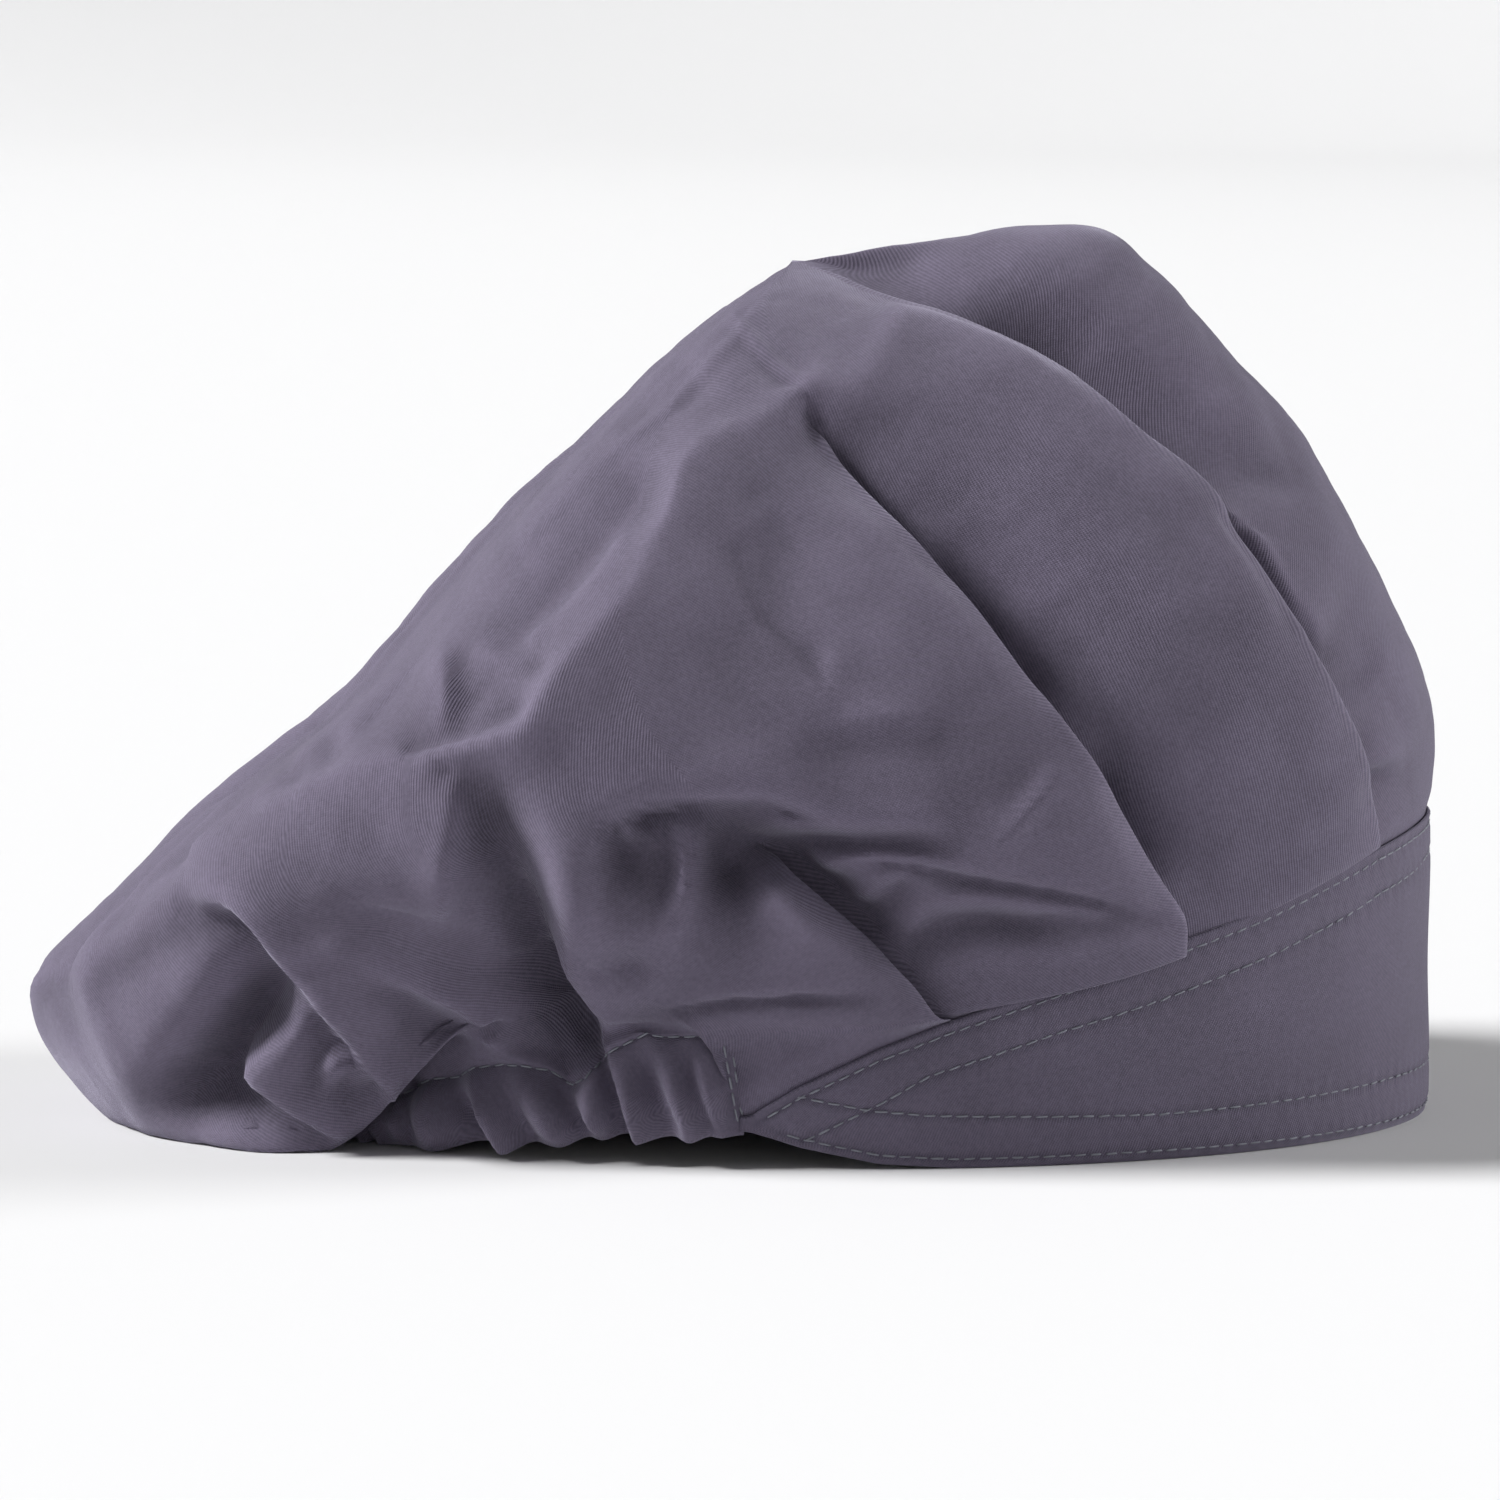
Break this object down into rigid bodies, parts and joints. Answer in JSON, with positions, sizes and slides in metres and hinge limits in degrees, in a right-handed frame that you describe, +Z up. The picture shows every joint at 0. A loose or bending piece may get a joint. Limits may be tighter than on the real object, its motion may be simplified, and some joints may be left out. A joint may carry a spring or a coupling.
{
  "type": "bouffant cap",
  "caption": "Soft twill bouffant cap with a deep pointed front band, side pleats, a full bag that hangs over behind, and a gathered elastic casing at the nape.",
  "frame": {"origin": "middle of the cap's footprint, on the surface it rests on", "axes": "+X towards the forehead, +Z up, so +Y is the wearer's left"},
  "size_m": [0.2802, 0.173, 0.1751],
  "materials": {
    "crown_twill": "matt dyed twill",
    "band_twill": "matt dyed twill, turned and topstitched",
    "casing_twill": "matt dyed twill, gathered"
  },
  "bodies": {
    "root": {"crown": "crown_twill", "front_band": "band_twill", "elastic_casing": "casing_twill"}
  },
  "joints": []
}
